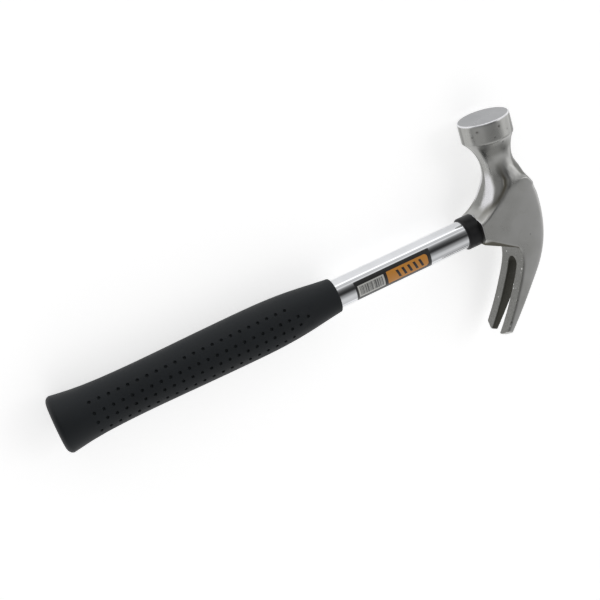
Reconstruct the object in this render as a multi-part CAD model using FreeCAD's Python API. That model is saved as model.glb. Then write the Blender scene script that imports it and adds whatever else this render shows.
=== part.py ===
import FreeCAD, Part
import math
import os

# Claw hammer: forged head on a chromed steel tube with a rubber grip.
#
# Part frame, millimetres: +X runs along the handle from butt to head,
# +Y points out of the striking face, +Z is up when the hammer lies on its
# side.  The origin is the centre of the striking face.
# Inside the functions a point is given as (along, reach): distance along the
# handle past the eye centre, and distance from the handle axis toward the
# face.  Everything is moved into the part frame at the end.

# ---------------------------------------------------------------- sizes, mm
face_reach = 57.6          # handle axis to striking face
face_radius = 14.25
face_chamfer = 0.5
poll_length = 11.2         # straight cylinder behind the face
shoulder_step = 0.15       # the neck starts this far inside the poll's rim

cheek_half = 11.7          # ground flats on both cheeks
waist_reach = 32.0         # thinnest place of the neck
waist_crown = 10.5
waist_half = 8.9

elbow_reach = 29.3         # centre of the hollow curve between neck and boss
elbow_along = -31.3
elbow_radius = 23.7
poll_sweep = 25.0          # hollow curve from neck up to poll, handle side
crown_sweep = 35.6         # hollow curve from neck to crown corner
side_sweep = 27.0          # hollow curve from neck to the cheek flats
flare_limit = 12.2         # forging just thicker than the ground flats

boss_end = -22.0           # face of the boss that the collar sits against
boss_low = -8.0
claw_root = (-4.2, -16.7)
crown_corner = (14.1, 16.2)
tip_outer = (-22.1, -66.0)
tip_inner = (-25.5, -64.0)

crown_rounding = 2.3
claw_rounding = 1.0
root_rounding = 2.0
boss_bevel = 3.4

slot_width = 8.2
slot_root = -29.4          # centre of the round end of the nail slot
slot_tilt = 18.0           # degrees, square to the claw at its root
tip_bevel_side = 6.0
tip_bevel_end = 3.2

tube_radius = 8.0
tube_wall = 1.5
tube_butt = -262.0
flare_start = 4.0          # the tube end is swaged outward inside the eye
flare_end = 17.0
flare_growth = 0.9
plug_depth = -3.0

collar_radius = 9.2
collar_length = 7.9
collar_edge = 1.0

grip_lip = -110.4
grip_lip_radius = 9.6
grip_shoulder = -266.0      # where the side starts to round over into the butt
grip_butt = -268.9
grip_butt_radius = 15.6
grip_edge_radius = 5.0

label_start = -100.2
label_end = -54.2
label_thickness = 0.12
label_from = -50.0         # degrees round the tube, 0 faces up
label_to = 36.0


# ------------------------------------------------------------------ helpers
def at(along, reach, up=0.0):
    return FreeCAD.Vector(along, reach, up)


def smooth_edge(points):
    curve = Part.BSplineCurve()
    curve.interpolate([at(*point) for point in points])
    return curve.toShape()


def arc_drop(radius, run):
    return radius - math.sqrt(radius * radius - run * run)


def plate(edges, half):
    face = Part.Face(Part.Wire(edges))
    face.translate(at(0, 0, -half))
    return face.extrude(at(0, 0, 2 * half))


def turned(outline):
    # outline: closed list of (along, radius) pairs turned about the handle axis
    points = [at(along, radius) for along, radius in outline]
    face = Part.Face(Part.makePolygon(points + points[:1]))
    return face.revolve(at(0, 0), at(1, 0), 360)


def crown_edge():
    points = [crown_corner, (15.1, 11.5), (15.7, 5.0), (15.5, -4.5), (12.6, -19.0)]
    points += [(7.0, -30.6), (0.0, -40.0), (-8.8, -51.0), tip_outer]
    return smooth_edge(points)


def above_crown():
    # everything beyond the crown surface, used to finish parts flush with it
    edges = [crown_edge()]
    corners = [tip_outer, (40, tip_outer[1]), (40, crown_corner[1]), crown_corner]
    for first, second in zip(corners, corners[1:]):
        edges.append(Part.makeLine(at(*first), at(*second)))
    return plate(edges, 20)


# --------------------------------------------------------------------- head
def poll():
    # face disc, chamfered rim and the straight poll behind it
    start = face_reach - poll_length
    body = Part.makeCylinder(face_radius, poll_length, at(0, start), at(0, 1))
    rim = [edge for edge in body.Edges if abs(edge.CenterOfMass.y - face_reach) < 0.01]
    return body.makeChamfer(face_chamfer, rim)


def squared(angle, power):
    # point on a unit oval at an angle; a power above 2 makes its corners fuller
    total = abs(math.cos(angle)) ** power + abs(math.sin(angle)) ** power
    radius = total ** (-1.0 / power)
    return radius * math.cos(angle), radius * math.sin(angle)


def neck_section(reach):
    # rounded cross-section of the neck at one distance from the handle axis
    poll_start = face_reach - poll_length
    shoulder = face_radius - shoulder_step
    level = min(reach, poll_start)
    rise = level - waist_reach
    if rise > 0:
        run = poll_start - waist_reach
        crown_gain = shoulder - waist_crown
        side_gain = shoulder - waist_half
        crown_curve = (run * run + crown_gain * crown_gain) / (2 * crown_gain)
        side_curve = (run * run + side_gain * side_gain) / (2 * side_gain)
        crown = waist_crown + arc_drop(crown_curve, rise)
        side = waist_half + arc_drop(side_curve, rise)
    else:
        # below the crown corner the neck leans in and ends inside the body
        buried = 2.0 * max(0.0, crown_corner[1] - level)
        crown = waist_crown + arc_drop(crown_sweep, rise) - buried
        side = min(flare_limit, waist_half + arc_drop(side_sweep, rise))
    drop = level - elbow_reach
    if drop > 0:
        handle = shoulder_step + elbow_along + elbow_radius - arc_drop(poll_sweep, drop)
    else:
        handle = elbow_along + elbow_radius - 0.45 * drop
    # round at the waist, growing squarer toward the flat-sided body
    blend = min(1.0, max(0.0, (waist_reach - level) / 16.0))
    crown_power = 2.0 + 8.0 * blend
    handle_power = 2.0 + 2.0 * blend
    middle = (crown + handle) / 2
    half = (crown - handle) / 2
    points = []
    count = 24
    for step in range(count):
        angle = 2 * math.pi * step / count
        power = crown_power if math.cos(angle) > 0 else handle_power
        across, up = squared(angle, power)
        points.append(at(middle + half * across, reach, side * up))
    curve = Part.BSplineCurve()
    curve.interpolate(points, PeriodicFlag=True)
    return Part.Wire(curve.toShape())


def neck():
    poll_start = face_reach - poll_length
    stations = [poll_start + 1.0, poll_start, 45.6, 44.6, 43.2, 41.0, 38.5, 35.5]
    stations += [waist_reach, 28.0, 24.0, 21.0, 18.5, crown_corner[1], crown_corner[1] - 3]
    return Part.makeLoft([neck_section(reach) for reach in stations], True, False)


def elbow_section(turn, nose, depth, half, power):
    # radial slice of the hollow corner between neck and boss: an oval that is
    # rounded toward the handle over nose and reaches depth into the body; a
    # power above 2 squares it up
    tilt = math.radians(turn)
    toward = at(math.cos(tilt), -math.sin(tilt))
    centre = at(elbow_along, elbow_reach) + toward * (elbow_radius + nose)
    points = []
    count = 24
    for step in range(count):
        angle = 2 * math.pi * step / count
        reach = nose if math.cos(angle) < 0 else depth - nose
        across, up = squared(angle, power)
        points.append(centre + toward * (reach * across) + at(0, 0, half * up))
    curve = Part.BSplineCurve()
    curve.interpolate(points, PeriodicFlag=True)
    return Part.Wire(curve.toShape())


def elbow():
    # the slices turn from the round neck down to the flat-sided boss
    # each slice: degrees turned, nose, depth, half width, power
    slices = [(0, 9.09, 18.18, 9.04, 2.0), (9, 9.3, 19.0, 10.1, 2.1), (18, 9.2, 21.0, 11.6, 2.3)]
    slices += [(27, 7.6, 22.0, 12.1, 2.5), (40, 6.0, 22.0, 12.1, 2.6), (55, 5.0, 19.0, 12.1, 2.6)]
    slices += [(75, 4.4, 14.0, 12.1, 2.6)]
    body = Part.makeLoft([elbow_section(*item) for item in slices], True, False)
    beyond = Part.makeBox(40, 60, 60, at(boss_end - 40, -20, -30))
    return body.cut(beyond)


def cheek_and_claws():
    # flat-sided body: crown, claws, underside and boss face
    edges = [crown_edge()]
    edges.append(Part.makeLine(at(*tip_outer), at(*tip_inner)))
    inner = [tip_inner, (-14.7, -48.2), (-9.7, -39.5), (-5.1, -30.3), (-3.1, -21.9), claw_root]
    edges.append(smooth_edge(inner))
    # the rest of the outline runs inside the neck and the elbow
    corners = [claw_root, (boss_end, boss_low), (boss_end, 3.0), (-14.0, 9.5), (-9.0, 12.8)]
    corners += [(-3.0, 18.0), (0.0, 18.5), (12.5, 15.5), crown_corner]
    for first, second in zip(corners, corners[1:]):
        edges.append(Part.makeLine(at(*first), at(*second)))
    body = plate(edges, cheek_half)
    body = body.makeFillet(crown_rounding, long_curves(body, 60.0, 200.0))
    body = body.makeFillet(claw_rounding, long_curves(body, 40.0, 60.0))
    root = [edge for edge in body.Edges if edge.CenterOfMass.distanceToPoint(at(*claw_root)) < 0.5]
    return body.makeFillet(root_rounding, root)


def long_curves(body, shortest, longest):
    # curved edges that run along the cheeks, picked by their length
    picked = []
    for edge in body.Edges:
        flat = abs(abs(edge.CenterOfMass.z) - cheek_half) < 0.01
        if flat and shortest < edge.Length < longest:
            picked.append(edge)
    return picked


def underside_bevels():
    # tapering bevels along the bottom edges of the boss, wide at the collar
    cutters = []
    run = at(claw_root[0] - boss_end, claw_root[1] - boss_low)
    across = at(-run.y, run.x).normalize()
    for side in (1, -1):
        ends = []
        for share, size in ((-0.3, boss_bevel * 1.2), (1.0, 0.3)):
            corner = at(boss_end, boss_low, side * cheek_half) + run * share
            inward = corner + at(0, 0, -side * size)
            upward = corner + across * size
            outward = corner - across * 4 + at(0, 0, side * 4)
            triangle = [inward, upward, outward]
            ends.append(Part.makePolygon(triangle + triangle[:1]))
        cutters.append(Part.makeLoft(ends, True, True))
    return cutters


def nail_slot():
    # round-ended slot, open at the tips, cut square to the claw at its root
    half = slot_width / 2
    cutter = Part.makeCylinder(half, 80, at(-40, 0), at(1, 0))
    cutter = cutter.fuse(Part.makeBox(80, 60, slot_width, at(-40, -60, -half)))
    cutter.rotate(at(0, 0), at(0, 0, 1), -slot_tilt)
    cutter.translate(at(-4.5, slot_root))
    return cutter


def tip_bevels():
    # the outer corner of each claw tip is cut away, square to the claw
    end = at(tip_outer[0] - tip_inner[0], tip_outer[1] - tip_inner[1]).normalize()
    back = at(-end.y, end.x)
    cutters = []
    for side in (1, -1):
        inside = at(*tip_inner, side * (cheek_half - tip_bevel_side))
        outside = at(*tip_inner, side * cheek_half) + back * tip_bevel_end
        slope = outside - inside
        near = inside - slope - end * 20
        far = inside + slope * 2 - end * 20
        corners = [near, far, far - back * 12, near - back * 12]
        face = Part.Face(Part.makePolygon(corners + corners[:1]))
        cutters.append(face.extrude(end * 40))
    return cutters


def eye():
    # the hole through the head, opening out toward the crown
    wide = tube_radius + flare_growth
    outline = [(boss_end - 5, 0), (boss_end - 5, tube_radius), (flare_start, tube_radius)]
    outline += [(flare_end, wide), (flare_end, 0)]
    return turned(outline)


def head():
    flats = Part.makeBox(200, 200, 2 * cheek_half, at(-100, -100, -cheek_half))
    above_shoulder = Part.makeCylinder(face_radius + 5, 60, at(0, waist_reach), at(0, 1))
    forging = neck().fuse(elbow()).common(flats.fuse(above_shoulder))
    body = cheek_and_claws().fuse([forging, poll()])
    body = body.cut([nail_slot(), eye()] + tip_bevels() + underside_bevels())
    return body.removeSplitter()


# ------------------------------------------------------------------- handle
def shaft_tube():
    # straight tube, swaged outward at the top so the head cannot fly off
    inside = tube_radius - tube_wall
    outline = [(tube_butt, inside), (tube_butt, tube_radius), (flare_start, tube_radius)]
    outline += [(flare_end, tube_radius + flare_growth), (flare_end, inside + flare_growth)]
    outline += [(flare_start, inside)]
    return turned(outline).cut(above_crown())


def expansion_plug():
    # tapered steel plug pressed into the tube end to hold the flare open
    inside = tube_radius - tube_wall
    outline = [(plug_depth, 0), (plug_depth, inside), (flare_start, inside)]
    outline += [(flare_end, inside + flare_growth), (flare_end, 0)]
    return turned(outline).cut(above_crown())


def collar():
    outline = [(boss_end - collar_length, tube_radius), (boss_end - collar_length, collar_radius)]
    outline += [(boss_end, collar_radius), (boss_end, tube_radius)]
    ring = turned(outline)
    rim = []
    for edge in ring.Edges:
        centre = edge.CenterOfMass
        if abs(centre.x - boss_end + collar_length) < 0.01 and edge.Length > 6.2 * collar_radius:
            rim.append(edge)
    return ring.makeFillet(collar_edge, rim)


def grip():
    # swelling handle sleeve: narrow behind the butt, full in the palm,
    # running down to a thin lip on the tube
    swell = [(grip_shoulder, grip_butt_radius), (-255.0, 14.1), (-240.0, 13.1), (-222.0, 12.85)]
    swell += [(-195.0, 13.15), (-165.0, 13.45), (-146.0, 13.2), (-131.0, 12.1), (-118.0, 10.5)]
    swell += [(grip_lip, grip_lip_radius)]
    inset = grip_butt_radius - grip_edge_radius
    depth = grip_shoulder - grip_butt
    middle = at(grip_shoulder - 0.72 * depth, grip_butt_radius - 0.3 * grip_edge_radius)
    edges = [smooth_edge(swell)]
    core = [(grip_lip, grip_lip_radius), (grip_lip + 0.4, tube_radius)]
    core += [(tube_butt, tube_radius), (tube_butt, 0), (grip_butt, 0), (grip_butt, inset)]
    for first, second in zip(core, core[1:]):
        edges.append(Part.makeLine(at(*first), at(*second)))
    rounding = Part.Arc(at(grip_butt, inset), middle, at(grip_shoulder, grip_butt_radius))
    edges.append(rounding.toShape())
    face = Part.Face(Part.Wire(edges))
    return face.revolve(at(0, 0), at(1, 0), 360)


def label():
    # printed film wrapped part of the way round the tube
    start = math.radians(label_from)
    outer = tube_radius + label_thickness
    points = []
    for radius in (tube_radius, outer):
        points.append(at(label_start, radius * math.sin(start), radius * math.cos(start)))
    for radius in (outer, tube_radius):
        points.append(at(label_end, radius * math.sin(start), radius * math.cos(start)))
    face = Part.Face(Part.makePolygon(points + points[:1]))
    return face.revolve(at(0, 0), at(1, 0), -(label_to - label_from))


def write_parts():
    makers = {
        "head": head,
        "shaft_tube": shaft_tube,
        "expansion_plug": expansion_plug,
        "collar": collar,
        "grip": grip,
        "label": label,
    }
    os.makedirs("parts", exist_ok=True)
    for name, maker in makers.items():
        shape = maker()
        shape.translate(at(0, -face_reach))
        shape.exportStep("parts/" + name + ".step")
        print(name, shape.isValid(), len(shape.Solids), round(shape.Volume))


write_parts()
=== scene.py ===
import math

import bmesh
import bpy
import numpy as np
from mathutils import Matrix, Vector


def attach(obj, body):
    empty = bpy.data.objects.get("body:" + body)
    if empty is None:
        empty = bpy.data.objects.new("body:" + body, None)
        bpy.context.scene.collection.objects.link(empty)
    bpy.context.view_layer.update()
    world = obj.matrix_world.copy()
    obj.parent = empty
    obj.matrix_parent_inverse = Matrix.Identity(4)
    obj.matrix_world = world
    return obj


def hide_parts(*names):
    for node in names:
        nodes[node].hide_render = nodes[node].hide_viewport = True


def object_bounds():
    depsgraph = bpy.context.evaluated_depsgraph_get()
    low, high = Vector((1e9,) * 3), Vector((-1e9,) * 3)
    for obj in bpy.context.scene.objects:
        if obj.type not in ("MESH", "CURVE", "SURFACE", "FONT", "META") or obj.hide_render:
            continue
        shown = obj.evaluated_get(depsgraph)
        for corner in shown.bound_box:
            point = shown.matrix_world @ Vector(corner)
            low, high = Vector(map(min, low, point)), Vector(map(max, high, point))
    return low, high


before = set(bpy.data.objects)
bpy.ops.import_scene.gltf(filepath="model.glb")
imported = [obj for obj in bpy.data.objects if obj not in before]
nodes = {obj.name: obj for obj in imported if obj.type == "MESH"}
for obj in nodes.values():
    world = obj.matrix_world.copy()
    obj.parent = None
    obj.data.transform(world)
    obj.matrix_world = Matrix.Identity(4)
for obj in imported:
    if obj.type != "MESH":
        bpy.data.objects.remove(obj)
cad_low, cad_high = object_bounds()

# Claw hammer lying on its side.  Metres, in the frame of the CAD model:
# +X along the handle from butt to head, +Y out of the striking face, +Z up.
# Lengths written in millimetres are multiplied by MM.  A place on the hammer
# is given as "along" (X), "reach" (from the handle's axis toward the face)
# and "up" (Z).
MM = 0.001
FACE_REACH = 57.6 * MM          # handle axis to striking face
FACE = FACE_REACH / MM
TUBE_RADIUS = 8.0               # millimetres


# ------------------------------------------------------------ node formulas
class Graph:
    """Builds shader nodes from plain formulas."""

    def __init__(self, tree):
        self.nodes = tree.nodes
        self.links = tree.links

    def node(self, kind, inputs=None, **settings):
        made = self.nodes.new(kind)
        for key, value in settings.items():
            setattr(made, key, value)
        for key, value in (inputs or {}).items():
            self.feed(made.inputs[key], value)
        return made

    def feed(self, socket, value):
        """Links a socket to a Term, or sets it to a constant."""
        if isinstance(value, Term):
            self.links.new(value.socket, socket)
        else:
            socket.default_value = value

    def math(self, operation, *values, clamp=False):
        made = self.node(
            "ShaderNodeMath", dict(enumerate(values)),
            operation=operation, use_clamp=clamp,
        )
        return Term(self, made.outputs[0])

    def xyz(self, vector):
        made = self.node("ShaderNodeSeparateXYZ", {0: vector})
        return [Term(self, made.outputs[i]) for i in range(3)]

    def vector(self, x, y, z):
        made = self.node("ShaderNodeCombineXYZ", {0: x, 1: y, 2: z})
        return Term(self, made.outputs[0])

    def attribute(self, name):
        made = self.node("ShaderNodeAttribute", attribute_name=name)
        return Term(self, made.outputs["Fac"])

    def coordinate(self, name):
        made = self.node("ShaderNodeTexCoord")
        return Term(self, made.outputs[name])

    def noise(self, point, scale, detail=2.0, rough=0.5, distortion=0.0):
        inputs = {"Vector": point, "Scale": scale, "Detail": detail}
        inputs["Roughness"] = rough
        inputs["Distortion"] = distortion
        return Term(self, self.node("ShaderNodeTexNoise", inputs).outputs[0])

    def cells(self, point, scale):
        """Distance to the nearest of many scattered points."""
        inputs = {"Vector": point, "Scale": scale}
        made = self.node("ShaderNodeTexVoronoi", inputs)
        return Term(self, made.outputs["Distance"])

    def ramp(self, value, low, high, out_low=0.0, out_high=1.0, smooth=True):
        """The value carried from low..high to out_low..out_high."""
        made = self.node(
            "ShaderNodeMapRange",
            dict(enumerate((value, low, high, out_low, out_high))),
            interpolation_type="SMOOTHSTEP" if smooth else "LINEAR",
        )
        return Term(self, made.outputs[0])

    def mix(self, share, first, second):
        made = self.node("ShaderNodeMix", data_type="RGBA")
        self.feed(made.inputs[0], share)
        self.feed(made.inputs[6], colour(first))
        self.feed(made.inputs[7], colour(second))
        return Term(self, made.outputs[2])

    def dots(self, point, spots, patches):
        """Small round spots, only in some patches of the surface; each is
        given as a scale and where its edge starts and ends."""
        scale, inner, outer = spots
        spot = self.ramp(self.cells(point, scale), inner, outer, 1.0, 0.0)
        scale, low, high = patches
        return spot * self.ramp(self.noise(point, scale, 1.0), low, high)


class Term:
    """One value in a formula; arithmetic on it makes the nodes."""

    def __init__(self, graph, socket):
        self.graph = graph
        self.socket = socket

    def __add__(self, other):
        return self.graph.math("ADD", self, other)

    def __sub__(self, other):
        return self.graph.math("SUBTRACT", self, other)

    def __mul__(self, other):
        return self.graph.math("MULTIPLY", self, other)

    def __truediv__(self, other):
        return self.graph.math("DIVIDE", self, other)

    def size(self):
        return self.graph.math("ABSOLUTE", self)

    def most(self, other):
        return self.graph.math("MAXIMUM", self, other)


def colour(value):
    if isinstance(value, tuple) and len(value) == 3:
        return (*value, 1.0)
    return value


def grey(level):
    return (level, level, level)


class Material:
    """A material with its node graph and its one shader."""

    def __init__(self, name, metallic=0.0, **constants):
        self.made = bpy.data.materials.new(name)
        self.made.use_nodes = True
        tree = self.made.node_tree
        self.graph = Graph(tree)
        self.shader = tree.nodes["Principled BSDF"]
        self.set(Metallic=metallic, **constants)

    def set(self, **constants):
        """Sets sockets to constants, such as Coat_Weight to 0.3."""
        for key, value in constants.items():
            self.shader.inputs[key.replace("_", " ")].default_value = value

    def finish(self, base, rough, height, distance, strength):
        """Links colour, roughness and a bump, its distance in millimetres."""
        bump = self.graph.node(
            "ShaderNodeBump",
            {"Strength": strength, "Distance": distance * MM, "Height": height},
        )
        self.graph.feed(self.shader.inputs["Base Color"], base)
        self.graph.feed(self.shader.inputs["Roughness"], rough)
        self.graph.feed(self.shader.inputs["Normal"], Term(self.graph, bump.outputs[0]))
        return self.made


# ---------------------------------------------------------------- materials
# colours of the forged steel, linear
STEEL_DULL = (0.40, 0.40, 0.385)
STEEL_CLEAN = (0.45, 0.45, 0.44)
STEEL_SMUDGE = (0.31, 0.30, 0.27)
# painted highlight on the cheek
STEEL_CHEEK_HIGHLIGHT = (0.60, 0.60, 0.595)
STEEL_UNDER = (0.185, 0.185, 0.175)
STEEL_GLINT = (0.80, 0.80, 0.78)
STEEL_SPECK = (0.12, 0.11, 0.09)
# painted shade along the sides and on the neck
STEEL_SIDE_SHADE = (0.19, 0.19, 0.18)
# painted highlight on the ridge
STEEL_RIDGE_HIGHLIGHT = (0.78, 0.775, 0.80)
# painted shade in the recess and under the boss
STEEL_PAINTED_SHADE = (0.085, 0.075, 0.05)
STEEL_SLOT = (0.060, 0.058, 0.045)
STEEL_CRUMB = (0.26, 0.25, 0.19)
STEEL_PIT = (0.05, 0.045, 0.04)
STEEL_POLISH = (0.315, 0.32, 0.33)
# painted highlight on the face's edge
STEEL_RIM_HIGHLIGHT = (0.78, 0.78, 0.80)


def forged_steel():
    """Satin ground steel; where it differs, and where shade and highlights are painted, is
    marked on the head's mesh.
    """
    material = Material("forged_steel", metallic=1.0)
    g = material.graph
    point = g.coordinate("Object")
    x, y, z = g.xyz(point)
    slot = g.attribute("slot")
    painted_shade = g.attribute("painted_shade")
    under = g.attribute("under")
    cloud = g.noise(point, 55.0, 4.0, 0.6)
    smudge = g.noise(point, 170.0, 3.0, 0.55, 0.6)
    fine = g.noise(point, 1500.0, 3.0, 0.6)
    grain = g.noise(g.vector(x * 5200, y * 900, z * 900), 1.0, 2.0, 0.6)
    speck = g.dots(point, spots=(300.0, 0.05, 0.09), patches=(30.0, 0.62, 0.72))
    glint = g.dots(point, spots=(420.0, 0.17, 0.25), patches=(260.0, 0.54, 0.60))
    crumb = g.dots(point, spots=(800.0, 0.16, 0.26), patches=(330.0, 0.52, 0.62))
    mottle = g.ramp(fine, 0.40, 0.62) * 0.28 + 0.72
    base = g.mix(g.ramp(cloud, 0.35, 0.68), STEEL_DULL, STEEL_CLEAN)
    # each layer covers the ones before it by its share
    layers = [
        (g.ramp(smudge, 0.55, 0.8) * 0.25, STEEL_SMUDGE),
        # painted highlight on the cheek toward its crown edge
        (g.attribute("cheek_highlight") * 0.5, STEEL_CHEEK_HIGHLIGHT),
        (under * mottle, STEEL_UNDER),
        (under * glint * 0.9, STEEL_GLINT),
        (speck * 0.3, STEEL_SPECK),
        # painted shade along the sides and on the neck
        (g.attribute("side_shade") * 0.75, STEEL_SIDE_SHADE),
        # painted highlight on the ridge over the handle
        (g.attribute("ridge_highlight") * 0.85, STEEL_RIDGE_HIGHLIGHT),
        # painted shade in the recess and under the boss
        (g.math("MULTIPLY", painted_shade, 0.88, clamp=True), STEEL_PAINTED_SHADE),
        (slot * (fine * 0.2 + 0.80), STEEL_SLOT),
        (slot * crumb * 0.55, STEEL_CRUMB),
        (g.attribute("pit") * 0.85, STEEL_PIT),
        (g.attribute("polish"), STEEL_POLISH),
        # painted highlight round the striking face
        (g.attribute("rim_highlight"), STEEL_RIM_HIGHLIGHT),
    ]
    for share, tone in layers:
        base = g.mix(share, base, tone)
    rough = g.ramp(cloud, 0.3, 0.7, 0.27, 0.34)
    rough = rough + (smudge - 0.5) * 0.10 + (grain - 0.5) * 0.08
    rough = rough + under * 0.16 + slot * 0.30 + painted_shade * 0.25 + speck * 0.2
    height = grain * 0.3 + fine * (under * 1.2 + slot * 2.5 + 0.15) - speck * 1.2
    return material.finish(base, rough, height, distance=0.02, strength=0.6)


def chrome():
    """Bright plate with faint draw lines and a slight waviness."""
    material = Material("chromed_steel", metallic=1.0)
    g = material.graph
    point = g.coordinate("Object")
    x, y, z = g.xyz(point)
    drawn = g.noise(g.vector(x * 14, y * 2600, z * 2600), 1.0, 2.0, 0.6)
    haze = g.noise(point, 60.0, 3.0, 0.6)
    wave = g.noise(g.vector(x * 22, y * 60, z * 60), 1.0, 1.0)
    base = g.mix(g.ramp(haze, 0.35, 0.75), (0.71, 0.72, 0.74), (0.66, 0.67, 0.685))
    rough = g.ramp(haze, 0.35, 0.75, 0.04, 0.07) + g.ramp(drawn, 0.55, 0.8) * 0.05
    height = drawn * 0.01 + wave
    return material.finish(base, rough, height, distance=0.02, strength=0.5)


def plug_steel():
    """Bare steel with fine grinding lines."""
    material = Material("plug_steel", metallic=1.0)
    g = material.graph
    point = g.coordinate("Object")
    x, y, z = g.xyz(point)
    cut = g.noise(g.vector(x * 400, y * 400, z * 6000), 1.0, 3.0, 0.65)
    cloud = g.noise(point, 420.0, 3.0)
    base = g.mix(g.ramp(cloud, 0.35, 0.7), (0.36, 0.355, 0.35), (0.50, 0.50, 0.49))
    rough = g.ramp(cut, 0.3, 0.7, 0.30, 0.48)
    return material.finish(base, rough, cut, distance=0.04, strength=0.6)


def black_plastic():
    material = Material("collar_plastic", IOR=1.5, Specular_IOR_Level=0.25)
    g = material.graph
    point = g.coordinate("Object")
    cloud = g.noise(point, 240.0, 3.0, 0.6)
    dark = (0.0055, 0.0055, 0.0065)
    light = (0.0095, 0.0095, 0.0108)
    base = g.mix(g.ramp(cloud, 0.3, 0.7), dark, light)
    rough = g.ramp(cloud, 0.3, 0.7, 0.30, 0.42)
    height = g.noise(point, 2600.0, 2.0) + g.noise(point, 500.0, 2.0)
    return material.finish(base, rough, height, distance=0.02, strength=0.5)


def rubber():
    """Black rubber with a fine grit and a little pale dust."""
    material = Material("grip_rubber", IOR=1.5, Specular_IOR_Level=0.25)
    g = material.graph
    point = g.coordinate("Object")
    cloud = g.noise(point, 40.0, 4.0, 0.6)
    dust = g.dots(point, spots=(420.0, 0.04, 0.10), patches=(70.0, 0.55, 0.7))
    grit = g.noise(point, 3600.0, 2.0, 0.6)
    dark = (0.0094, 0.0118, 0.0140)
    light = (0.0138, 0.0167, 0.0196)
    base = g.mix(g.ramp(cloud, 0.3, 0.7), dark, light)
    base = g.mix(dust * 0.5, base, (0.055, 0.056, 0.056))
    rough = g.ramp(cloud, 0.3, 0.7, 0.55, 0.66) + (grit - 0.5) * 0.1
    height = grit + g.cells(point, 1500.0) * 0.8
    return material.finish(base, rough, height, distance=0.03, strength=0.6)


# areas of the label: middle and half size, in millimetres along and across;
# the amber panel is squared at the butt end and rounded at the other
AMBER_ROUND = ((-68.8, -0.91), (12.5, 3.7))
AMBER_SQUARE = ((-72.8, -0.91), (8.5, 3.7))
AMBER_INNER = ((-67.6, -0.91), (8.6, 2.3))
PALE = ((-91.05, -1.08), (7.95, 3.53))
PALE_INNER = ((-91.05, -0.9), (7.1, 2.6))
PRINT_SOFT = 0.06               # softness of a printed edge
FILM_INK = grey(0.012)
BAR_INK = grey(0.014)
AMBER_INK = (0.66, 0.27, 0.035)
PALE_INK = (0.60, 0.60, 0.57)
CODE_INK = grey(0.10)
SCUFF = grey(0.4)


def box_mask(g, across, along, area, corner):
    """1 inside a rectangle with rounded corners."""
    middle, half = area
    dx = ((along - middle[0]).size() - (half[0] - corner)).most(0.0)
    dy = ((across - middle[1]).size() - (half[1] - corner)).most(0.0)
    far = g.math("SQRT", dx * dx + dy * dy)
    return g.ramp(far, corner - PRINT_SOFT, corner + PRINT_SOFT, 1.0, 0.0, False)


def label_print():
    """Black film, an amber panel with plain slanted bars and a pale panel of
    meaningless thin bars."""
    material = Material("label_film", IOR=1.5, Coat_Weight=0.3, Coat_Roughness=0.12)
    g = material.graph
    point = g.coordinate("Object")
    x, y, z = g.xyz(point)
    across = g.math("ARCTAN2", y + FACE_REACH, z) * TUBE_RADIUS
    along = x * (1 / MM)
    panel = box_mask(g, across, along, AMBER_ROUND, 1.8)
    panel = panel.most(box_mask(g, across, along, AMBER_SQUARE, 0.3))
    pale = box_mask(g, across, along, PALE, 0.3)
    # slanted bars: a plain rhythm of wide strokes, no letters
    stroke = g.math("PINGPONG", along + across * 0.32 + 80.0, 1.75)
    bars = g.ramp(stroke, 0.95, 0.95 + PRINT_SOFT * 2, 0.0, 1.0, False)
    bars = bars * box_mask(g, across, along, AMBER_INNER, 0.2)
    # thin bars of uneven width
    stripe = g.noise(g.vector(along * 1.9, 0.0, 0.0), 1.0, 1.0, 0.9)
    thin = g.ramp(stripe, 0.475, 0.50, 0.0, 1.0, False)
    code = box_mask(g, across, along, PALE_INNER, 0.05)
    wear = g.noise(point, 900.0, 4.0, 0.7)
    ink = g.mix(panel, FILM_INK, AMBER_INK)
    ink = g.mix(bars, ink, BAR_INK)
    ink = g.mix(pale, ink, PALE_INK)
    ink = g.mix(pale * code * thin, ink, CODE_INK)
    ink = g.mix(g.ramp(wear, 0.66, 0.74) * 0.12, ink, SCUFF)
    rough = g.ramp(wear, 0.3, 0.7, 0.30, 0.45)
    return material.finish(ink, rough, wear, distance=0.02, strength=0.4)


# ------------------------------------------------------------ mesh building
def mesh_object(name, points, faces, material):
    mesh = bpy.data.meshes.new(name)
    mesh.from_pydata(points, [], faces)
    mesh.validate()
    mesh.update()
    smooth_shaded(mesh)
    mesh.materials.append(material)
    made = bpy.data.objects.new(name, mesh)
    bpy.context.scene.collection.objects.link(made)
    return made


def smooth_shaded(mesh):
    mesh.polygons.foreach_set("use_smooth", [True] * len(mesh.polygons))


def place(piece, node):
    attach(piece, "root")
    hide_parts(node)


def on_handle(along, radius, angle):
    """Point at a distance along the handle, a radius and an angle from up
    (+Z) toward the face side (+Y)."""
    up = radius * math.cos(angle)
    return (along, radius * math.sin(angle) - FACE_REACH, up)


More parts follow.
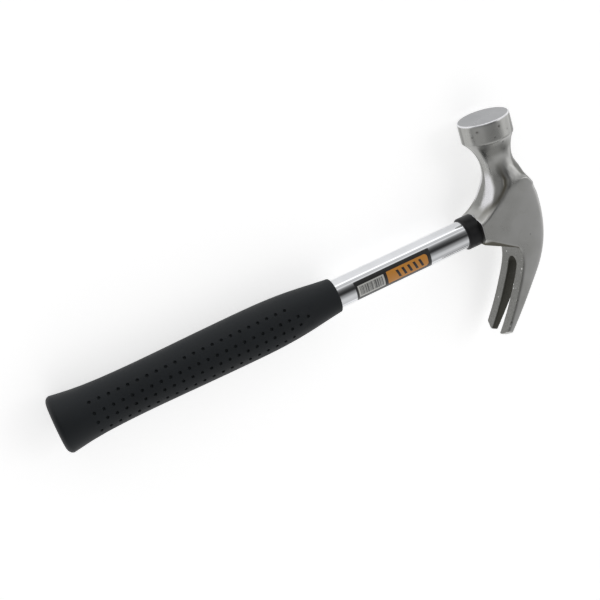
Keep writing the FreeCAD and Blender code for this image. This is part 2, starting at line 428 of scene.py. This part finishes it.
def spline(knots):
    """Natural cubic through the knots, as a function."""
    xs = np.array([x for x, y in knots], float)
    ys = np.array([y for x, y in knots], float)
    h = np.diff(xs)
    n = len(xs)
    a = np.eye(n)
    b = np.zeros(n)
    for i in range(1, n - 1):
        a[i, i - 1] = h[i - 1]
        a[i, i] = 2 * (h[i - 1] + h[i])
        a[i, i + 1] = h[i]
        b[i] = 6 * ((ys[i + 1] - ys[i]) / h[i] - (ys[i] - ys[i - 1]) / h[i - 1])
    m = np.linalg.solve(a, b)

    def value(x):
        i = min(max(int(np.searchsorted(xs, x)) - 1, 0), n - 2)
        left = xs[i + 1] - x
        right = x - xs[i]
        cubic = (m[i] * left ** 3 + m[i + 1] * right ** 3) / (6 * h[i])
        line = (ys[i] / h[i] - m[i] * h[i] / 6) * left
        return cubic + line + (ys[i + 1] / h[i] - m[i + 1] * h[i] / 6) * right

    return value


# --------------------------------------------------------------------- grip
# distances along the handle, radii and depths in millimetres; angles in degrees
# from up toward the face side
GRIP_PROFILE = [
    (-266.0, 15.6), (-255.0, 14.1), (-240.0, 13.1), (-222.0, 12.85), (-195.0, 13.15),
    (-165.0, 13.45), (-146.0, 13.2), (-131.0, 12.1), (-118.0, 10.5), (-110.4, 9.6),
]
GRIP_SHOULDER = GRIP_PROFILE[0][0]
GRIP_MOUTH = GRIP_PROFILE[-1][0]
# last rows of the side, then rings over the mouth's edge and onto the tube
MOUTH_EDGES = [-111.6, -111.0, -110.6, GRIP_MOUTH]
GRIP_LIP = [(-110.15, 9.45), (-110.03, 9.15), (-110.0, 8.75), (-110.0, TUBE_RADIUS)]
# a slight crease, a rounded edge and a nearly flat end with a small nub
GRIP_BUTT = [
    (-266.25, 15.42), (-266.5, 15.30), (-266.9, 15.22), (-267.4, 14.85), (-267.9, 14.3),
    (-268.35, 13.5), (-268.65, 12.5), (-268.82, 11.3), (-268.88, 9.5), (-268.9, 6.0),
    (-268.9, 3.0), (-268.9, 1.9), (-268.7, 1.7), (-268.3, 1.55), (-268.3, 0.8),
]
GRIP_BORE = [(along, TUBE_RADIUS) for along in (-150.0, -200.0, -262.0)]

# dimples: rows along the handle, four lines of them on the upper side and four
# on the under side
DIMPLE_ROWS = 24
DIMPLE_FIRST = -249.3
DIMPLE_PITCH = 5.16
DIMPLE_RADIUS = 0.92
DIMPLE_DEPTH = 1.0
DIMPLE_LINES = [-32.4, -6.5, 14.9, 40.8]
DIMPLE_LAST = 4.2               # the single dimple that ends a side's rows
# rings down into a dimple: share of its radius, depth
DIMPLE_WALL = [(1.32, 0.0), (1.06, 0.015), (1.0, 0.08), (0.93, 0.35), (0.84, 0.8), (0.55, 0.95)]

# the mesh: BLOCK rows and columns to each dimple, wider ones elsewhere; a band
# is a start, an end and its number of columns
BLOCK = 4
SIDE_BANDS = [
    (-45.35, -19.45, BLOCK), (-19.45, 4.2, BLOCK), (4.2, 27.85, BLOCK), (27.85, 53.75, BLOCK),
]
FACE_BAND = (53.75, 126.25, 12)
BACK_BAND = (225.35, 314.65, 15)
SIDE_COLUMNS = 4 * BLOCK + FACE_BAND[2]
BUTT_ROWS = 14
MOUTH_ROWS = 11


def grip_columns():
    """Angles of the mesh columns, mirrored between the upper and under side."""
    mirrored = [(180 - end, 180 - start, count) for start, end, count in reversed(SIDE_BANDS)]
    columns = []
    for start, end, count in SIDE_BANDS + [FACE_BAND] + mirrored + [BACK_BAND]:
        columns += [start + (end - start) * i / count for i in range(count)]
    return columns


def grip_rows():
    """Distances of the mesh rows along the handle."""
    rows = [
        DIMPLE_FIRST + DIMPLE_PITCH * (k / BLOCK - 0.5)
        for k in range(BLOCK * DIMPLE_ROWS + 1)
    ]
    first, last = rows[0], rows[-1]
    butt = [GRIP_SHOULDER + (first - GRIP_SHOULDER) * i / BUTT_ROWS for i in range(BUTT_ROWS)]
    to_edge = MOUTH_EDGES[0] - last
    mouth = [last + to_edge * i / MOUTH_ROWS for i in range(1, MOUTH_ROWS + 1)]
    return butt + rows + mouth + MOUTH_EDGES[1:]


class GripSkin:
    """Surface of the grip: rings of points round the handle."""

    def __init__(self):
        self.points = []
        self.faces = []
        self.taken = set()
        self.radius = spline(GRIP_PROFILE)
        self.columns = grip_columns()
        self.rows = grip_rows()
        self.grid = [
            [self.side_point(along, angle) for angle in self.columns]
            for along in self.rows
        ]

    def point(self, along, reach, angle):
        """Adds a point and gives back its number."""
        self.points.append(on_handle(along * MM, reach * MM, math.radians(angle)))
        return len(self.points) - 1

    def side_point(self, along, angle, depth=0.0):
        """Point on the grip's side, or at a depth under it."""
        inside = min(max(along, GRIP_SHOULDER), GRIP_MOUTH)
        return self.point(along, self.radius(inside) - depth, angle)

    def join(self, ring, new, inward=False):
        """Quads from one ring of points to the next."""
        for j in range(len(ring)):
            n = (j + 1) % len(ring)
            if inward:
                self.faces.append((ring[j], new[j], new[n], ring[n]))
            else:
                self.faces.append((ring[j], ring[n], new[n], new[j]))

    def close(self, ring, centre, inward=False):
        """Triangles from a ring to a point in its middle."""
        for j in range(len(ring)):
            n = (j + 1) % len(ring)
            if inward:
                self.faces.append((ring[j], centre, ring[n]))
            else:
                self.faces.append((ring[j], ring[n], centre))

    def extend(self, ring, profile, inward=False):
        """Carries the surface on from a ring; gives back the last ring."""
        for along, reach in profile:
            new = [self.point(along, reach, angle) for angle in self.columns]
            self.join(ring, new, inward)
            ring = new
        return ring

    def dimple(self, row, column, width, along, angle):
        """Round hole in a block of BLOCK rows by width columns."""
        count = len(self.columns)
        self.taken |= {
            (row + i, (column + j) % count) for i in range(BLOCK) for j in range(width)
        }
        loop = [(row, column + j) for j in range(width)]
        loop += [(row + i, column + width) for i in range(BLOCK)]
        loop += [(row + BLOCK, column + width - j) for j in range(width)]
        loop += [(row + BLOCK - i, column) for i in range(BLOCK)]
        degree_length = self.radius(along) * math.pi / 180
        ring = [self.grid[i][j % count] for i, j in loop]
        turns = []
        for i, j in loop:
            turn = (self.columns[j % count] - angle + 180) % 360 - 180
            turns.append(math.atan2(turn * degree_length, self.rows[i] - along))
        for share, depth in DIMPLE_WALL:
            step = DIMPLE_RADIUS * share
            new = []
            for turn in turns:
                turned = angle + step * math.sin(turn) / degree_length
                new.append(self.side_point(along + step * math.cos(turn), turned, depth))
            self.join(ring, new)
            ring = new
        self.close(ring, self.side_point(along, angle, DIMPLE_DEPTH))

    def cut_dimples(self, mirrored):
        """One side's dimples: full rows, one row without its outer two, and
        a single dimple on the middle line."""
        column = SIDE_COLUMNS if mirrored else 0
        lines = [180 - angle for angle in reversed(DIMPLE_LINES)] if mirrored else DIMPLE_LINES
        for k in range(DIMPLE_ROWS):
            row = BUTT_ROWS + BLOCK * k
            along = DIMPLE_FIRST + DIMPLE_PITCH * k
            if k == DIMPLE_ROWS - 1:
                last = 180 - DIMPLE_LAST if mirrored else DIMPLE_LAST
                self.dimple(row, column + BLOCK, 2 * BLOCK, along, last)
                continue
            for c, angle in enumerate(lines):
                if k < DIMPLE_ROWS - 2 or c in (1, 2):
                    self.dimple(row, column + BLOCK * c, BLOCK, along, angle)

    def fill_side(self):
        """Plain quads wherever no dimple was cut."""
        count = len(self.columns)
        for i in range(len(self.rows) - 1):
            near, far = self.grid[i], self.grid[i + 1]
            for j in range(count):
                if (i, j) not in self.taken:
                    n = (j + 1) % count
                    self.faces.append((near[j], far[j], far[n], near[n]))


def make_grip(material):
    skin = GripSkin()
    skin.cut_dimples(mirrored=False)
    skin.cut_dimples(mirrored=True)
    skin.fill_side()
    mouth = skin.extend(skin.grid[-1], GRIP_LIP, inward=True)
    nub = skin.extend(skin.grid[0], GRIP_BUTT)
    skin.close(nub, skin.point(GRIP_BUTT[-1][0], 0, 0))
    bottom = skin.extend(mouth, GRIP_BORE, inward=True)
    skin.close(bottom, skin.point(GRIP_BORE[-1][0], 0, 0), inward=True)
    piece = mesh_object("grip_sleeve", skin.points, skin.faces, material)
    # all faces turned to look outward
    turned = bmesh.new()
    turned.from_mesh(piece.data)
    bmesh.ops.recalc_face_normals(turned, faces=turned.faces)
    turned.to_mesh(piece.data)
    turned.free()
    smooth = piece.modifiers.new("smooth", "SUBSURF")
    smooth.levels = 1
    smooth.render_levels = 1
    place(piece, "grip")


# --------------------------------------------------------------------- head
# places on the head: along and reach in millimetres
HEAD_VOXEL = 0.4                # size of the even mesh
EDGE_ROUNDS = 8                 # rounds of smoothing that round its edges
WAVE_HEIGHT = 0.015             # unevenness of the forged skin
PIT_DEPTH = 0.12
RECESS_WIDTH = 1.7
# recess where the round neck runs into the ground cheek: along, reach, depth
RECESS = [
    (-1.9, 34.0, 0.0), (-1.8, 30.0, 0.2), (-1.6, 26.0, 0.4), (-1.3, 22.8, 0.55),
    (-2.4, 20.0, 0.55), (-6.0, 16.3, 0.45), (-10.0, 13.2, 0.4), (-15.6, 10.5, 0.3),
    (-20.3, 8.2, 0.2),
]
# edge of the cheek along the crown, written in the same way
CROWN_EDGE = [
    (14.0, 20.0, 0), (15.1, 11.5, 0), (15.7, 5.0, 0), (15.5, -4.5, 0), (12.6, -19.0, 0),
    (7.0, -30.6, 0), (0.0, -40.0, 0), (-8.8, -51.0, 0), (-21.0, -66.0, 0),
]
# line on the neck past which the painted shade falls: reach, along
SHADE_LINE = [
    (20.5, 10.8), (21.8, 8.8), (24.0, 7.2), (27.4, 5.9),
    (31.0, 6.1), (42.0, 7.2), (48.0, 8.2), (57.0, 9.0),
]
SLOT_ROOT = (-4.5, -29.4)
SLOT_RUN = (-0.309, -0.951)     # direction from the root to the claw tips
SLOT_HALF = 4.1
# small casting pits: along, reach, radius
PITS = [
    (0.4, 53.7, 0.62), (-10.3, 53.9, 0.5), (1.5, 44.6, 0.5), (-12.4, 51.2, 0.35),
    (5.5, 50.2, 0.35), (-3.0, 49.0, 0.3), (8.0, 46.0, 0.3), (2.5, 39.5, 0.3),
    (-13.0, -46.0, 0.4), (-20.0, -57.0, 0.45), (4.5, -12.0, 0.3),
]


def smooth_step(value, low, high):
    share = np.clip((value - low) / (high - low), 0, 1)
    return share * share * (3 - 2 * share)


def path_distance(along, reach, path):
    """Distance to a line through the points and its depth there."""
    best = np.full(len(along), 1e9)
    depth = np.zeros(len(along))
    for (x0, y0, d0), (x1, y1, d1) in zip(path, path[1:]):
        run = (x1 - x0) ** 2 + (y1 - y0) ** 2
        t = np.clip(((along - x0) * (x1 - x0) + (reach - y0) * (y1 - y0)) / run, 0, 1)
        far = np.hypot(along - x0 - t * (x1 - x0), reach - y0 - t * (y1 - y0))
        near = far < best
        best = np.where(near, far, best)
        depth = np.where(near, d0 + t * (d1 - d0), depth)
    return best, depth


def relax_points(co, edges, weight, rounds):
    """Moves each point toward the mean of its neighbours."""
    degree = np.bincount(edges.ravel(), minlength=len(co)).astype(float)
    for _ in range(rounds):
        total = np.zeros_like(co)
        np.add.at(total, edges[:, 0], co[edges[:, 1]])
        np.add.at(total, edges[:, 1], co[edges[:, 0]])
        co = co + weight[:, None] * (total / degree[:, None] - co)
    return co


def remeshed(node, name, voxel, rounds):
    """Even copy of a CAD node's surface with slightly rounded edges."""
    mesh = nodes[node].data.copy()
    piece = bpy.data.objects.new(name, mesh)
    bpy.context.scene.collection.objects.link(piece)
    weld = bmesh.new()
    weld.from_mesh(mesh)
    bmesh.ops.remove_doubles(weld, verts=weld.verts, dist=1e-6)
    weld.to_mesh(mesh)
    weld.free()
    remesh = piece.modifiers.new("remesh", "REMESH")
    remesh.mode = "VOXEL"
    remesh.voxel_size = voxel * MM
    relax = piece.modifiers.new("relax", "SMOOTH")
    relax.factor = 0.5
    relax.iterations = rounds
    graph = bpy.context.evaluated_depsgraph_get()
    result = bpy.data.meshes.new_from_object(piece.evaluated_get(graph))
    piece.modifiers.clear()
    piece.data = result
    result.name = name
    smooth_shaded(result)
    return piece


def read_rows(items, name, width, kind=float):
    values = np.zeros(len(items) * width, kind)
    items.foreach_get(name, values)
    return values.reshape(-1, width)


def position(co):
    """Along, reach and up of each point, in millimetres."""
    return co[:, 0] / MM, (co[:, 1] + FACE_REACH) / MM, co[:, 2] / MM


def soften_neck(co, edges):
    """The neck flows into the elbow, and into the cheek beside the recess."""
    _, reach, up = position(co)
    soft = smooth_step(reach, 9.0, 13.0) * smooth_step(45.4 - reach, 0.0, 2.0)
    soft *= smooth_step(11.3 - np.abs(up), 0.0, 0.8)
    co = relax_points(co, edges, soft * 0.8, 40)
    along, reach, up = position(co)
    soft = np.exp(-(((along - 0.8) / 3.4) ** 2 + ((reach - 20.6) / 3.6) ** 2))
    soft *= smooth_step(np.abs(up), 7.0, 9.0)
    return relax_points(co, edges, np.clip(soft * 1.3, 0, 1) * 0.9, 60)


def carve_and_roughen(co):
    """Carves the recess and makes the forged skin slightly uneven.  Gives back
    each point's distance to the recess and the depth of the recess there."""
    along, reach, up = position(co)
    far, depth = path_distance(along, reach, RECESS)
    carve = depth * np.exp(-((far / RECESS_WIDTH) ** 2)) * smooth_step(np.abs(up), 6.0, 8.0)
    co[:, 2] -= np.sign(up) * carve * MM
    forged = smooth_step(reach, 8.0, 16.0) * smooth_step(46.0 - reach, 0.0, 3.0)
    forged *= smooth_step(11.62 - np.abs(up), 0.0, 0.5)
    wave = np.sin(along * 0.9 + 1.3) * np.sin(reach * 0.7 + 0.4) * np.sin(up * 0.8 + 0.9)
    wave += 0.6 * np.sin(along * 1.9 + reach * 0.5) * np.sin(up * 1.3 + reach * 1.1)
    outward = np.stack([along + 1.0, np.zeros_like(reach), up], axis=1)
    outward /= np.maximum(np.linalg.norm(outward, axis=1), 1e-6)[:, None]
    co += outward * (wave * forged * WAVE_HEIGHT * MM)[:, None]
    return far, depth


class Spots:
    """Where each point of the head lies and which way it faces: the parts of
    its normal, and how far it is tilted up or down."""

    def __init__(self, co, normal):
        self.along, self.reach, self.up = position(co)
        self.nx, self.ny, self.nz = normal.T
        self.tilt = np.abs(self.nz)


def pits_mark(at):
    """Pits, only in the surfaces that face up."""
    pits = np.zeros(len(at.up))
    for along, reach, radius in PITS:
        gone = np.hypot(at.along - along, at.reach - reach) / radius
        pits = np.maximum(pits, np.exp(-gone ** 2) * (at.up > 3))
    return pits * smooth_step(at.nz, 0.3, 0.6)


def slot_mark(at):
    """Walls of the nail slot."""
    run = (at.along - SLOT_ROOT[0]) * SLOT_RUN[0] + (at.reach - SLOT_ROOT[1]) * SLOT_RUN[1]
    inner = np.where(run > 0, np.abs(at.up), np.hypot(run, at.up))
    return smooth_step(SLOT_HALF + 0.42 - inner, 0.0, 0.35)


def painted_shade_mark(at, far, depth):
    """Painted shade in the recess and on the bevels and the corner under the boss."""
    groove = np.exp(-((far / 1.2) ** 2)) * np.clip(depth / 0.5, 0, 1)
    groove *= smooth_step(at.up, 5.0, 7.5) + smooth_step(-at.up, 5.0, 7.5)
    bevel = smooth_step(-at.ny, 0.10, 0.36) * smooth_step(at.reach, -18.0, -16.5)
    bevel *= smooth_step(-at.along, 2.0, 4.0) * smooth_step(-at.reach, 5.0, 7.0)
    corner = smooth_step(-at.nx, 0.3, 0.5) * smooth_step(-at.reach, 5.0, 7.0)
    corner *= smooth_step(-at.along, 13.0, 14.5) * smooth_step(at.reach, -14.0, -12.0)
    return np.clip(np.maximum(groove, np.maximum(bevel * 0.95, corner)), 0, 1)


def neck_shade(at):
    """Painted shade on the crown side of the neck and in its hollow."""
    edge = np.interp(at.reach, *zip(*SHADE_LINE))
    # scale: the share of painted shade at each point
    scale = smooth_step(at.along - edge, -0.2, 1.0) * smooth_step(at.reach, 20.2, 21.2)
    scale *= 0.35 + 0.9 * smooth_step(at.tilt, 0.3, 0.55)
    facing = at.nx + 0.5 * np.clip(at.ny, 0, 1)
    rounded = smooth_step(facing, 0.5, 0.7) * smooth_step(at.tilt, 0.25, 0.45)
    scale = np.maximum(scale, rounded * smooth_step(22.6 - at.reach, 0.0, 1.4))
    hollow = smooth_step(-at.ny, 0.15, 0.35) * smooth_step(at.tilt, 0.36, 0.46)
    hollow *= smooth_step(at.reach, 32.0, 36.0) * smooth_step(47.0 - at.reach, 0.0, 5.0)
    deeper = 0.25 * smooth_step(0.62 - at.tilt, 0.0, 0.12)
    return np.maximum(scale, hollow * (1.05 + deeper))


def off_middle(at):
    """How far a side faces from just under its middle, where the band of painted shade runs."""
    return np.abs(at.nz + 0.08)


def side_shade_mark(at):
    """Painted shade: a dark band along the sides just under their middle, and the painted shade
    on the neck.
    """
    side_shade = smooth_step(0.13 - off_middle(at), 0.0, 0.05) * smooth_step(-at.nx, 0.5, 0.7)
    sides = smooth_step(at.reach, 6.0, 10.0) * smooth_step(57.2 - at.reach, 0.0, 0.3)
    return np.maximum(side_shade, neck_shade(at)) * sides


def ridge_highlight_mark(at):
    """Painted highlight on the ridge over the handle."""
    reach_down = 0.52 + 0.2 * smooth_step(17.0 - at.reach, 0.0, 6.0)
    ridge_highlight = smooth_step(off_middle(at), 0.08, 0.13)
    ridge_highlight *= smooth_step(reach_down - at.tilt, 0.0, 0.2)
    ridge_highlight *= smooth_step(-at.nx, 0.55, 0.75) * smooth_step(30.0 - at.reach, 0.0, 6.0)
    return ridge_highlight * smooth_step(at.reach, 1.0, 4.5)


def cheek_highlight_mark(at):
    """Painted highlight on the ground cheek, brighter toward its crown edge."""
    far, _ = path_distance(at.along, at.reach, CROWN_EDGE)
    cheek_highlight = np.exp(-((far / 6.0) ** 2)) * smooth_step(at.tilt, 0.75, 0.9)
    cheek_highlight *= smooth_step(19.5 - at.reach, 0.0, 2.0)
    return cheek_highlight * smooth_step(at.reach, -48.0, -36.0)


def rim_highlight_mark(at):
    """Painted highlight on the edge round the striking face."""
    rim_highlight = smooth_step(at.ny, 0.15, 0.35) * smooth_step(0.97 - at.ny, 0.0, 0.06)
    return rim_highlight * smooth_step(at.reach, FACE - 1.2, FACE - 0.8)


def under_mark(at):
    """Inner side of the claws."""
    under = smooth_step(-at.nx * 0.9 + at.ny * 0.35, 0.35, 0.8)
    return under * smooth_step(-at.reach, 12.0, 18.0)


def make_head(material):
    """Forged head: the CAD surface remeshed evenly and relaxed, so that its edges are rounded
    as a finished forging's are, then worked further."""
    piece = remeshed("head", "forged_head", HEAD_VOXEL, EDGE_ROUNDS)
    mesh = piece.data
    mesh.materials.clear()
    mesh.materials.append(material)
    edges = read_rows(mesh.edges, "vertices", 2, int)
    normal = read_rows(mesh.vertices, "normal", 3)
    co = soften_neck(read_rows(mesh.vertices, "co", 3), edges)
    far, depth = carve_and_roughen(co)
    at = Spots(co, normal)
    pits = pits_mark(at)
    co[:, 2] -= pits * PIT_DEPTH * MM
    mesh.vertices.foreach_set("co", co.ravel())
    mesh.update()
    # what the steel's material reads at each point
    marks = {
        "slot": slot_mark(at),
        "painted_shade": painted_shade_mark(at, far, depth),
        "pit": pits,
        "polish": smooth_step(at.reach, FACE - 0.7, FACE - 0.3),
        "rim_highlight": rim_highlight_mark(at),
        "side_shade": side_shade_mark(at),
        "ridge_highlight": ridge_highlight_mark(at),
        "cheek_highlight": cheek_highlight_mark(at),
        "under": under_mark(at),
    }
    for name, values in marks.items():
        layer = mesh.attributes.new(name, "FLOAT", "POINT")
        layer.data.foreach_set("value", values.astype(np.float32))
    place(piece, "head")


def paint(node, material):
    """Material for a CAD piece that is shown as it is."""
    piece = nodes[node]
    piece.data.materials.clear()
    piece.data.materials.append(material)
    smooth_shaded(piece.data)


# ----------------------------------------------------------- floor and light
FLOOR_HALF = 20.0               # metres
FLOOR_GAP = 0.1                 # millimetres below the lowest point
# brightness round the handle by angle: 0 overhead, 90 on the face side
ACROSS_LEVELS = [
    (-180, 0.7), (-100, 0.7), (-78, 0.72), (-50, 0.80), (-38, 0.72), (-26, 0.46),
    (-14, 0.32), (-5, 0.13), (3, 0.04), (12, 0.04), (22, 0.08), (30, 0.14), (39, 0.28),
    (46, 0.50), (52, 0.98), (57, 0.92), (61, 0.62), (64, 0.62), (68, 0.85), (73, 0.6),
    (76, 0.9), (79, 1.6), (90, 1.6), (118, 1.0), (180, 0.7),
]
# brightness along the handle by angle: 0 overhead, 90 past the head
END_LEVELS = [
    (-180, 0.6), (-90, 0.60), (-41, 0.56), (-29, 0.42), (0, 0.33), (25, 0.37),
    (38, 0.55), (48, 0.9), (58, 1.2), (70, 1.15), (82, 0.85), (90, 0.7), (180, 0.6),
]
# round panels: direction, how near it the edge starts and ends, brightness
PANELS = [
    ((-0.45, 0.30, 0.84), 0.86, 0.96, 0.22),
    ((0.70, 0.22, 0.68), 0.92, 0.98, 0.75),
    ((-0.15, 0.42, 0.895), 0.95, 0.985, 0.32),
    ((-0.80, 0.45, 0.40), 0.75, 0.90, 0.32),
    ((0.68, -0.70, 0.22), 0.90, 0.96, 0.42),
    ((0.66, 0.42, 0.62), 0.945, 0.97, 0.62),
]


def make_floor():
    material = Material("floor", Roughness=0.9, Emission_Strength=0.63)
    material.set(Emission_Color=(1, 1, 1, 1))
    g = material.graph
    tone = g.noise(g.coordinate("Object"), 3.0, 2.0)
    g.feed(material.shader.inputs["Base Color"], g.mix(tone, grey(0.71), grey(0.74)))
    half = FLOOR_HALF
    level = cad_low.z - FLOOR_GAP * MM
    corners = [(x * half, y * half, level) for x, y in ((-1, -1), (1, -1), (1, 1), (-1, 1))]
    mesh_object("floor", corners, [(0, 1, 2, 3)], material.made)


def softbox(name, centre, target, side, power):
    """Square area light."""
    data = bpy.data.lights.new(name, "AREA")
    data.shape = "RECTANGLE"
    data.size = side
    data.size_y = side
    data.energy = power
    light = bpy.data.objects.new(name, data)
    light.location = centre
    away = Vector(centre) - Vector(target)
    light.rotation_mode = "QUATERNION"
    light.rotation_quaternion = away.to_track_quat("Z", "Y")
    bpy.context.scene.collection.objects.link(light)


def wall_levels(g, value, levels):
    """Brightness read from a list of (degrees, level) pairs."""
    ramp = g.nodes.new("ShaderNodeValToRGB")
    band = ramp.color_ramp
    while len(band.elements) > 1:
        band.elements.remove(band.elements[0])
    for index, (degrees, level) in enumerate(levels):
        where = (degrees + 180) / 360
        stop = band.elements[0] if index == 0 else band.elements.new(where)
        stop.position = where
        stop.color = (level, level, level, 1)
    g.feed(ramp.inputs[0], (value + 180.0) / 360.0)
    return Term(g, ramp.outputs[0])


def make_world():
    """Studio surroundings: pale walls, brighter low on the face side and past
    the head, a dark gap overhead that runs along the handle, and panels."""
    world = bpy.data.worlds.new("studio")
    bpy.context.scene.world = world
    world.use_nodes = True
    g = Graph(world.node_tree)
    back = world.node_tree.nodes["Background"]
    x, y, z = g.xyz(g.coordinate("Generated"))
    degrees = 180 / math.pi
    across = wall_levels(g, g.math("ARCTAN2", y, z) * degrees, ACROSS_LEVELS)
    ends = wall_levels(g, g.math("ARCTAN2", x, z) * degrees, END_LEVELS)
    # toward both ends of the handle its own levels take over
    sky = g.mix(g.ramp(x.size(), 0.36, 0.60), across, ends)
    for (px, py, pz), edge, full, level in PANELS:
        toward = x * px + y * py + z * pz
        sky = g.mix(g.ramp(toward, edge, full), sky, grey(level))
    # away from the face side the walls fade into a plain tone at the horizon
    low = g.ramp(z, 0.16, 0.02) * g.ramp(y, 0.5, 0.2)
    sky = g.mix(low, sky, g.ramp(x, -0.4, 0.2, 0.68, 0.85))
    g.feed(back.inputs["Color"], sky)
    back.inputs["Strength"].default_value = 1.0


# the photograph's viewing angle, from a fit of the shaft and the face: azimuth
# and elevation of the camera's back, then its roll, in degrees
CAMERA_PLACE = (-0.24885, 0.15696, 0.48087)
CAMERA_AZIMUTH = 119.926
CAMERA_ELEVATION = 63.410
CAMERA_ROLL = 127.585
CAMERA_LENS = 61.23
CAMERA_SENSOR = 36.0


def turn(degrees, axis):
    return Matrix.Rotation(math.radians(degrees), 4, axis)


def make_camera():
    data = bpy.data.cameras.new("camera")
    data.lens = CAMERA_LENS
    data.sensor_width = CAMERA_SENSOR
    data.clip_start = 0.01
    camera = bpy.data.objects.new("camera", data)
    aim = turn(90 + CAMERA_AZIMUTH, "Z") @ turn(90 - CAMERA_ELEVATION, "X")
    camera.matrix_world = Matrix.Translation(CAMERA_PLACE) @ aim @ turn(CAMERA_ROLL, "Z")
    bpy.context.scene.collection.objects.link(camera)
    bpy.context.scene.camera = camera


bpy.context.scene.view_settings.view_transform = "Standard"
make_head(forged_steel())
make_grip(rubber())
paint("shaft_tube", chrome())
paint("expansion_plug", plug_steel())
paint("collar", black_plastic())
paint("label", label_print())
make_floor()
make_world()
softbox("key", centre=(1.2, 0.22, 1.55), target=(0, 0, 0), side=0.7, power=2.2)
make_camera()
